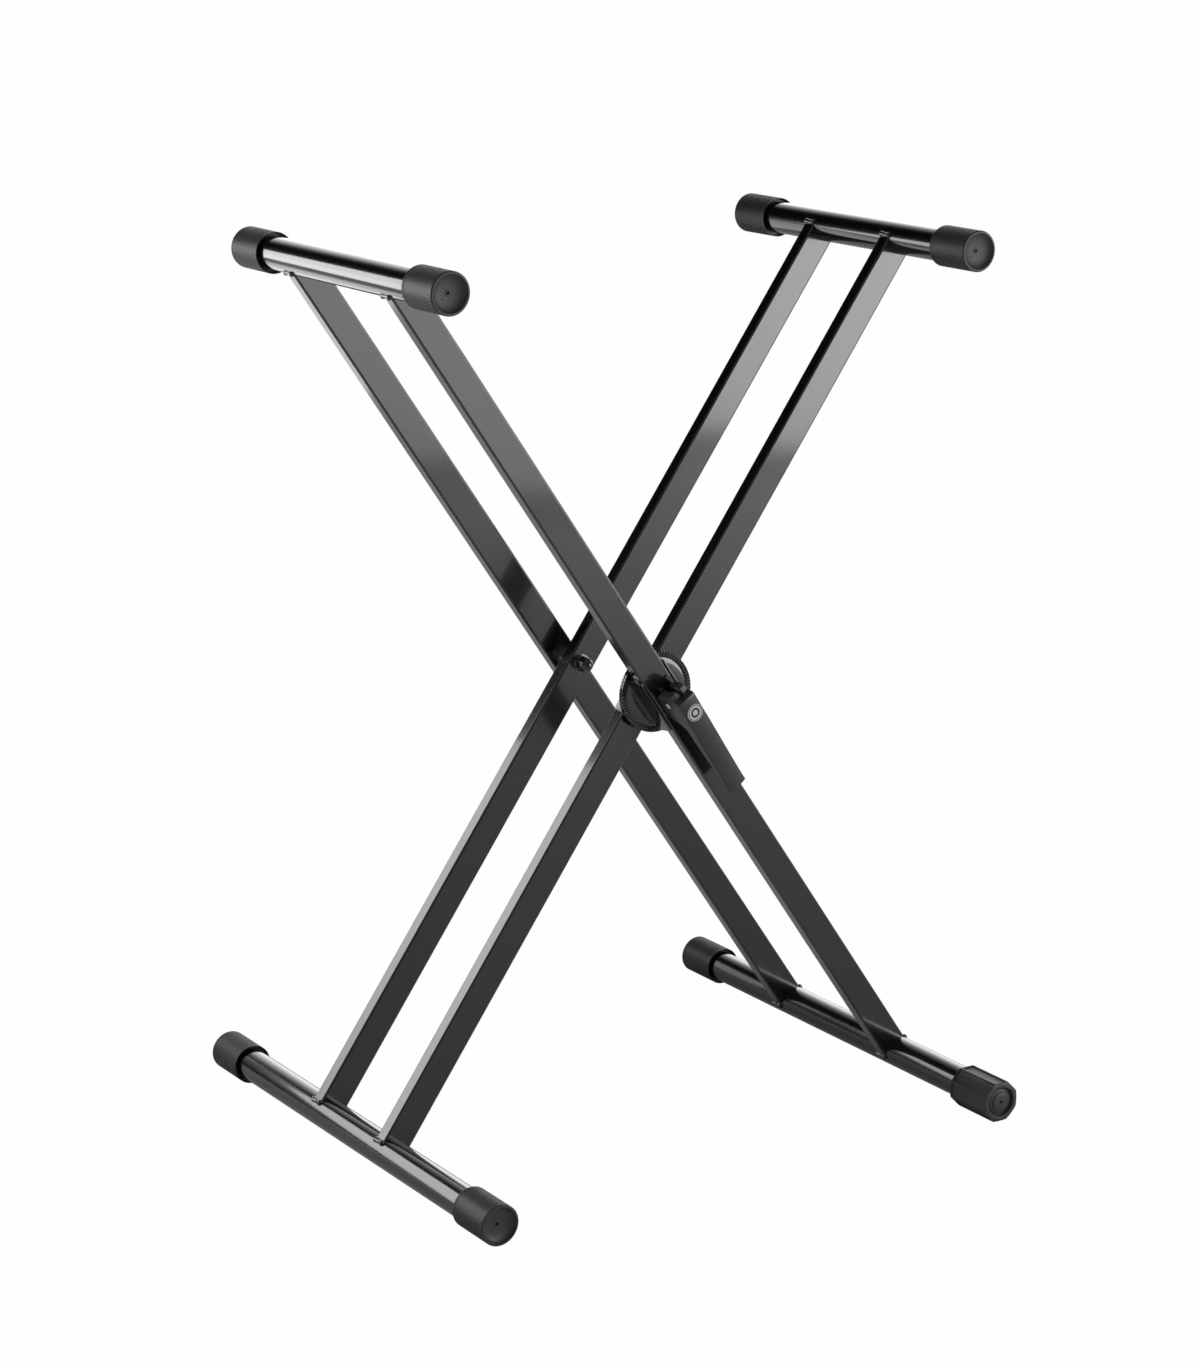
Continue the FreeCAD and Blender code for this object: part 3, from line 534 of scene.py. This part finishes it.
zinc, tree, shader = new_material("zinc", Base_Color=(0.75, 0.75, 0.74, 1), Metallic=1.0)
coat(tree, shader, scale=1500, height=0.01, dullness=0.22, variation=0.12)
ZINC_NODES = (
    "release_bolt", "retaining_washer", "retaining_nut", "guide_bush_outer", "guide_bush_inner",
    "pivot_bush_far", "clutch_spring", "pivot_sleeve_far", "pivot_spacer_far",
    "pivot_washer_far_outer", "pivot_washer_far_inner", "pivot_bolt_far",
)
for node in ZINC_NODES:
    dress(node, zinc)
dress("cam_plate", clutch_gloss)

# ---- Cross pin --------------------------------------------------------------------
# A zinc-plated steel pin through the bolt's eye carries the lever's fork. Its ends are
# rounded into low domes.

LEG_FACE = 100 * MM                   # mid plane to the outer leg's near face
PIN_HEIGHT = 13.5 * MM
PIN_RADIUS = 3 * MM
PIN_LENGTH = 21.2 * MM
PIN_DOME = ((0.25, 0.95), (0.35, 0.84), (0.3, 0.7), (0.2, 0.5), (0.1, 0.4))
pin = begin("cylinder", "domed_cross_pin", vertices=32, radius=PIN_RADIUS, depth=PIN_LENGTH)
for way in (1, -1):
    pick(pin, "faces", lambda face: face.normal.z * way > 0.9)
    for out, grow in PIN_DOME:
        step(way * out * MM, grow)
finish_shape(pin, 60)
pin.data.transform(along_leg(OUTER) @ Matrix.Translation((0, 0, LEG_FACE + PIN_HEIGHT))
                   @ Matrix.Rotation(math.pi / 2, 4, "Y"))
fit(pin, "cross_pin", "release_bolt", "zinc_steel", zinc)

# ---- Release lever ----------------------------------------------------------------
# A moulded black lever. Its forked head is an eccentric that turns on the cross pin, and
# its grip is a channel that lies along the leg, crowned across and hollow underneath.

LEVER_HALF = 10.6 * MM
# Stations along the lever: distance down the leg from the pin, then its underside and its
# crown above the leg's face, in millimetres.
LEVER_STATIONS = (
    (-14.5, 13.5, 28), (-13.6, 9, 28.2), (-11.2, 5.2, 28.6), (-9, 3.7, 29.2), (-7.2, 2.9, 37.6),
    (-5.5, 2.5, 38.1), (-3.3, 2.3, 38), (16.5, 2.3, 36.5), (19.3, 4.8, 36.3), (21.5, 10.5, 36.2),
    (23.2, 15.4, 36.1), (26.2, 18.9, 35.9), (30, 21.6, 35.7), (42, 22, 34.6), (58, 22.2, 33.1),
    (74, 23.6, 31.6), (89, 25, 30.4), (104, 26.4, 29.3), (113, 27.4, 28.7),
)
lever_plastic, tree, shader = new_material("lever_plastic", Base_Color=(0.04, 0.038, 0.04, 1))
coat(tree, shader, scale=1100, height=0.035, dullness=0.3, variation=0.08)

lever = begin("plane", "forked_release_lever", size=1, rotation=(math.pi / 2, 0, 0))
down, under, crown = LEVER_STATIONS[0]
bpy.ops.mesh.select_all(action="SELECT")
bpy.ops.transform.resize(value=(2 * LEVER_HALF, 1, (crown - under) * MM), center_override=(0, 0, 0))
bpy.ops.transform.translate(value=(0, -down * MM, (crown + under) / 2 * MM))
for next_down, next_under, next_crown in LEVER_STATIONS[1:]:
    bpy.ops.mesh.extrude_region_move(TRANSFORM_OT_translate={"value": (0, (down - next_down) * MM, 0)})
    bpy.ops.transform.resize(value=(1, 1, (next_crown - next_under) / (crown - under)),
                             center_override=(0, 0, under * MM))
    bpy.ops.transform.translate(value=(0, 0, (next_under - under) * MM))
    down, under, crown = next_down, next_under, next_crown
for across in (-8, -4, 0, 4, 8):
    pick(lever, "faces", lambda face: True)
    bpy.ops.mesh.bisect(plane_co=(across * MM, 0, 0), plane_no=(1, 0, 0))
for across, rise in ((0, 0.35), (4, 0.2), (8, -0.35), (10.6, -1.1)):
    pick(lever, "verts", lambda vert: abs(abs(vert.co.x) - across * MM) < 0.1 * MM
         and vert.co.z > 27.95 * MM)
    bpy.ops.transform.translate(value=(0, 0, rise * MM))


def is_crown_edge(edge):
    """Tell whether an edge runs along one side of the crown, short of the tip."""
    first, last = edge.verts
    spot = middle(edge)
    on_side = all(abs(vert.co.x) > 10.5 * MM and vert.co.z > 26.8 * MM for vert in edge.verts)
    runs_along = abs(first.co.y - last.co.y) > 0.5 * MM
    return on_side and runs_along and spot.z > 27.2 * MM and spot.y > -112 * MM


pick(lever, "edges", is_crown_edge)
bpy.ops.mesh.bevel(offset=1.1 * MM, segments=3, affect="EDGES")
pick(lever, "edges", lambda edge: all(vert.co.y < -112.9 * MM and abs(vert.co.x) > 10.5 * MM
                                      for vert in edge.verts))
bpy.ops.mesh.bevel(offset=2.5 * MM, segments=4, affect="EDGES")
finish_shape(lever, 32)

slot_cut = block("fork_slot", (7.2 * MM, 38 * MM, 50 * MM), (0, 0, 5.5 * MM))
pick(slot_cut, "edges", lambda edge: middle(edge).z > 30 * MM and abs(middle(edge).x) < 1 * MM)
bpy.ops.mesh.bevel(offset=3 * MM, segments=4, affect="EDGES")
finish_shape(slot_cut, 30)
carve(lever, slot_cut)
hollow = block("grip_hollow", (16.2 * MM, 72 * MM, 40 * MM), (0, -66 * MM, 12.5 * MM))
pick(hollow, "verts", lambda vert: vert.co.z > 30 * MM and vert.co.y < -100 * MM)
bpy.ops.transform.translate(value=(0, 0, -5.6 * MM))
pick(hollow, "edges", lambda edge: middle(edge).z > 24 * MM)
bpy.ops.mesh.bevel(offset=1.5 * MM, segments=3, affect="EDGES")
finish_shape(hollow, 30)
carve(lever, hollow)
lever.data.transform(along_leg(OUTER) @ Matrix.Translation((0, 0, LEG_FACE)))
fit(lever, "release_lever", "release_lever", "lever_plastic", lever_plastic)

# ---- Badge ------------------------------------------------------------------------
# A round plate pressed into the lever's crown. Its pale face is bare but for two dark
# rings, sunk a little below it.

BADGE_RADIUS = 8.75 * MM
BADGE_DOWN, BADGE_UP = 10.5 * MM, 36.9 * MM
BADGE_BASE = 1.2 * MM
# Inset and rise of each step from the rim inwards, in millimetres.
BADGE_RINGS = (
    (0.2, 0.12), (0.5, 0), (0.1, -0.25), (0.7, 0), (0.1, 0.25), (2, 0.05), (0.1, -0.2), (2.1, 0),
    (0.1, 0.2), (1.4, 0.05),
)
CROWN_FALL = math.atan2(38 - 35.7, 30 + 7.25)         # slope of the crown under the badge
badge_face, tree, shader = new_material("badge_face", Base_Color=(0.6, 0.6, 0.59, 1))
coat(tree, shader, scale=1500, height=0.01, dullness=0.28, variation=0.1)
badge_ring, tree, shader = new_material("badge_ring", Base_Color=(0.02, 0.02, 0.02, 1))
coat(tree, shader, scale=1500, height=0.02, dullness=0.35, variation=0.1)
badge = begin("cylinder", "round_badge", vertices=64, radius=BADGE_RADIUS, depth=BADGE_BASE,
              location=(0, 0, BADGE_BASE / 2))
pick(badge, "faces", lambda face: face.normal.z > 0.9)
for inset, rise in BADGE_RINGS:
    bpy.ops.mesh.inset(thickness=inset * MM)
    bpy.ops.transform.translate(value=(0, 0, rise * MM))
finish_shape(badge, 25)
dark = []
for face in badge.data.polygons:
    out = face.center.xy.length
    if face.normal.z > 0.9 and (7.3 * MM < out < 7.9 * MM or 3.4 * MM < out < 4.6 * MM):
        dark.append(face.index)
badge.data.transform(along_leg(OUTER) @ Matrix.Translation((0, -BADGE_DOWN, LEG_FACE + BADGE_UP))
                     @ Matrix.Rotation(CROWN_FALL, 4, "X"))
fit(badge, "lever_badge", "release_lever", "badge_face", badge_face, badge_ring)
for index in dark:
    badge.data.polygons[index].material_index = 1

# ---- Far pivot's domed nut --------------------------------------------------------
# The far legs turn on a plain bolt. A black domed nut closes it on the inside, a hexagon
# between a round collar and a smooth dome.

COLLAR_RADIUS = 8.8 * MM
HEXAGON_RADIUS = 8.2 * MM
DOME_RADIUS = 7.1 * MM
low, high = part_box("pivot_cap_nut_far")
collar = begin("cylinder", "nut_collar", vertices=48, radius=COLLAR_RADIUS, depth=1.5 * MM,
               location=(0, 0, 0.75 * MM))
pick(collar, "edges", lambda edge: middle(edge).z > 1.4 * MM)
bpy.ops.mesh.bevel(offset=0.5 * MM, segments=3, affect="EDGES")
finish_shape(collar, 30)
hexagon = begin("cylinder", "nut_hexagon", vertices=6, radius=HEXAGON_RADIUS, depth=5 * MM,
                location=(0, 0, 4 * MM))
pick(hexagon, "edges", lambda edge: middle(edge).z > 1.6 * MM)
bpy.ops.mesh.bevel(offset=0.7 * MM, segments=3, affect="EDGES")
finish_shape(hexagon, 30)
dome = begin("uv_sphere", "nut_dome", segments=40, ring_count=20, radius=DOME_RADIUS,
             location=(0, 0, 6.6 * MM))
pick(dome, "faces", lambda face: True)
bpy.ops.mesh.bisect(plane_co=(0, 0, 6 * MM), plane_no=(0, 0, 1), clear_inner=True, use_fill=True)
finish_shape(dome, 40)
cap_nut = joined([collar, hexagon, dome], "domed_cap_nut")
cap_nut.data.transform(Matrix.Translation((PIVOT.x, high.y, PIVOT.z)) @ Matrix.Rotation(math.pi / 2, 4, "X"))
fit(cap_nut, "pivot_cap_nut_far", "outer_frame", "black_hardware", clutch_gloss)

# ---- Floor ------------------------------------------------------------------------
# A plain, pale and matt floor that stands for a studio sweep. It takes light and shade
# like any other, but the camera sees it all but white.

bpy.ops.mesh.primitive_plane_add(size=60, location=(0, 0, 0))
floor = bpy.context.object
floor.name = "floor"
floor_paint, tree, shader = new_material(
    "floor_paint", Base_Color=(0.85, 0.85, 0.85, 1), Roughness=0.9)
shader.inputs["Specular IOR Level"].default_value = 0
glow = tree.nodes.new("ShaderNodeEmission")
glow.inputs["Color"].default_value = (1, 1, 1, 1)
seen = tree.nodes.new("ShaderNodeLightPath")
share = tree.nodes.new("ShaderNodeMath")
share.operation = "MULTIPLY"
share.inputs[1].default_value = 0.985
mix = tree.nodes.new("ShaderNodeMixShader")
output = tree.nodes["Material Output"]
tree.links.new(seen.outputs["Is Camera Ray"], share.inputs[0])
tree.links.new(share.outputs[0], mix.inputs["Fac"])
tree.links.new(shader.outputs[0], mix.inputs[1])
tree.links.new(glow.outputs[0], mix.inputs[2])
tree.links.new(mix.outputs[0], output.inputs["Surface"])
floor.data.materials.append(floor_paint)

# ---- Studio -----------------------------------------------------------------------
# A dim studio, paler behind and to the right and dark behind to the left. The camera
# sees plain white. Two softboxes hang in front of the stand and two behind it.

ROOM = 0.22
PALE_CORNER = 1.8
world = bpy.data.worlds.new("studio")
bpy.context.scene.world = world
world.use_nodes = True
tree = world.node_tree
background = tree.nodes["Background"]
background.inputs["Color"].default_value = (1, 1, 1, 1)
way = tree.nodes.new("ShaderNodeTexCoord")
parts = tree.nodes.new("ShaderNodeSeparateXYZ")
tree.links.new(way.outputs["Generated"], parts.inputs[0])


def ramp(axis, low, high):
    """Rise from 0 to 1 between two values of one part of the direction."""
    node = tree.nodes.new("ShaderNodeMapRange")
    node.inputs["From Min"].default_value = low
    node.inputs["From Max"].default_value = high
    tree.links.new(parts.outputs[axis], node.inputs["Value"])
    return node.outputs[0]


def combine(operation, first, second, third=0.0):
    """Work out one step of the studio's level."""
    node = tree.nodes.new("ShaderNodeMath")
    node.operation = operation
    for socket, value in zip(node.inputs, (first, second, third)):
        if isinstance(value, float):
            socket.default_value = value
        else:
            tree.links.new(value, socket)
    return node.outputs[0]


behind = ramp("Y", 0.0, 0.35)
pale = combine("MULTIPLY", combine("MULTIPLY", behind, ramp("X", -0.05, 0.45)), ramp("Z", 0.75, 0.45))
dark = combine("MULTIPLY", behind, ramp("X", 0.15, -0.15))
room = combine("MULTIPLY_ADD", dark, -ROOM, ROOM)
level = combine("MULTIPLY_ADD", pale, PALE_CORNER, room)
seen = tree.nodes.new("ShaderNodeLightPath")
choose = tree.nodes.new("ShaderNodeMix")
choose.data_type = "FLOAT"
tree.links.new(seen.outputs["Is Camera Ray"], choose.inputs[0])
tree.links.new(level, choose.inputs[2])
choose.inputs[3].default_value = 1.0
tree.links.new(choose.outputs[0], background.inputs["Strength"])


def softbox(name, place, aim, width, height, level, spread, roll=0.0):
    """Hang a soft area lamp of a given surface brightness that the camera doesn't see."""
    data = bpy.data.lights.new(name, "AREA")
    data.shape = "RECTANGLE"
    data.size = width
    data.size_y = height
    data.energy = level * math.pi * width * height
    data.spread = math.radians(spread)
    lamp = bpy.data.objects.new(name, data)
    bpy.context.scene.collection.objects.link(lamp)
    turn = (Vector(aim) - Vector(place)).to_track_quat("-Z", "Y").to_matrix().to_4x4()
    lamp.matrix_world = Matrix.Translation(place) @ turn @ Matrix.Rotation(math.radians(roll), 4, "Z")
    lamp.visible_camera = False


softbox("front_right", (2.4, -2.4, 0.8), (0, 0, 0.45), 1.4, 1.5, 3.1, spread=150)
softbox("front", (1.1, -2.76, 0.8), (0, 0, 0.45), 1.1, 1.5, 1.3, spread=150)
softbox("back_left", (-1.88, 1.2, 0.92), (-1.88, 0, 0.92), 2.0, 1.74, 2.6, roll=46, spread=140)
softbox("back_low", (-0.3, 1.25, 0.35), (-0.3, 0, 0.35), 0.7, 0.6, 0.9, spread=145)

# ---- Camera -----------------------------------------------------------------------
# It stands in front of the stand and to its left, higher than its top, and looks down
# on the crossing by 14 degrees.

azimuth = math.radians(-32.879)
elevation = math.radians(14.257)
roll = math.radians(0.333)
distance = 3.39706
look_at = Vector((-0.013485, 0, PIVOT.z - 0.007678))
backward = Vector((math.sin(azimuth) * math.cos(elevation), -math.cos(azimuth) * math.cos(elevation),
                   math.sin(elevation)))
level_right = Vector((math.cos(azimuth), math.sin(azimuth), 0))
level_up = backward.cross(level_right)
right = math.cos(roll) * level_right + math.sin(roll) * level_up
up = -math.sin(roll) * level_right + math.cos(roll) * level_up
camera_data = bpy.data.cameras.new("camera")
camera_data.lens = 90.686
camera = bpy.data.objects.new("camera", camera_data)
bpy.context.scene.collection.objects.link(camera)
camera.matrix_world = (Matrix.Translation(look_at + distance * backward)
                       @ Matrix((right, up, backward)).transposed().to_4x4())
bpy.context.scene.camera = camera
bpy.context.scene.view_settings.view_transform = "Standard"
